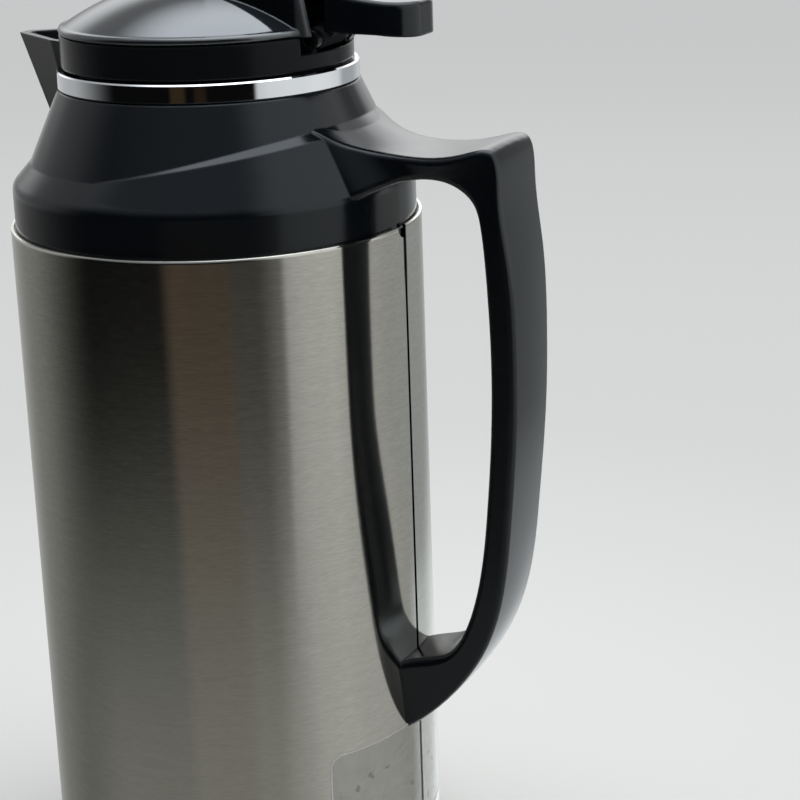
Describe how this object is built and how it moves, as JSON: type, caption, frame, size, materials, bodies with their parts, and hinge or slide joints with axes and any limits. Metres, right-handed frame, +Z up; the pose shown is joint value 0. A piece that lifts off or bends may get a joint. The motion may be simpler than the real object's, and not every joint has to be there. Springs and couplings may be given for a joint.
{
  "type": "thermal carafe with flip lid",
  "caption": "Thermal carafe with a brushed steel casing, glass vacuum liner, lofted strap handle, pouring beak and a screw-in stopper with a thumb-lever flip lid.",
  "frame": {"origin": "on the carafe's axis, on the surface that it stands on", "axes": "+Z up along the carafe's axis, +X towards the handle, -X towards the beak, +Y across"},
  "size_m": [0.1578, 0.118, 0.2713],
  "materials": {
    "steel": "finely brushed round the body",
    "shell": "gloss",
    "shell_inner": "satin",
    "chrome": "polished",
    "glass": "silvered between the walls",
    "pads": "pressed fibre",
    "rubber": "matt",
    "silicone": "satin",
    "base_plastic": "fine texture",
    "stopper_plastic": "gloss",
    "foam": "foam",
    "lid_plastic": "gloss",
    "pin_steel": "ground",
    "screw_steel": "plain"
  },
  "bodies": {
    "carafe": {"outer_casing": "steel", "seam_strip": "shell_inner", "shoulder_handle": "shell", "neck_ring": "chrome", "liner_outer_wall": "glass", "liner_inner_wall": "glass", "wall_spacers": "pads", "neck_gasket": "rubber", "liner_cushion": "rubber", "base_ring": "base_plastic", "base_cover": "base_plastic", "foot_ring": "rubber", "foot_screw": "screw_steel"},
    "stopper_seal": {"stopper_gasket": "silicone"},
    "stopper": {"stopper_body": "stopper_plastic", "stopper_insulation": "foam", "stopper_bottom": "stopper_plastic", "hinge_pin": "pin_steel", "lid_spring": "pin_steel"},
    "lid": {"lid_dome": "lid_plastic", "lid_inner": "stopper_plastic", "thumb_lever": "lid_plastic", "port_plug": "stopper_plastic", "port_seal": "silicone", "lid_screws": "screw_steel", "plug_screw": "screw_steel"}
  },
  "joints": [
    {"name": "stopper_lift", "type": "slide", "parent": "carafe", "child": "stopper_seal", "axis": [0, 0, 1], "range_m": [0, 0.075]},
    {"name": "stopper_turn", "type": "hinge", "parent": "stopper_seal", "child": "stopper", "pos_m": [0, 0, 0.225], "axis": [0, 0, 1], "range_deg": [0, 90]},
    {"name": "lid_hinge", "type": "hinge", "parent": "stopper", "child": "lid", "pos_m": [0.038, 0, 0.256], "axis": [0, 1, 0], "range_deg": [0, 55], "stiffness_Nm_per_rad": 0.04, "springref_deg": -20.05}
  ]
}
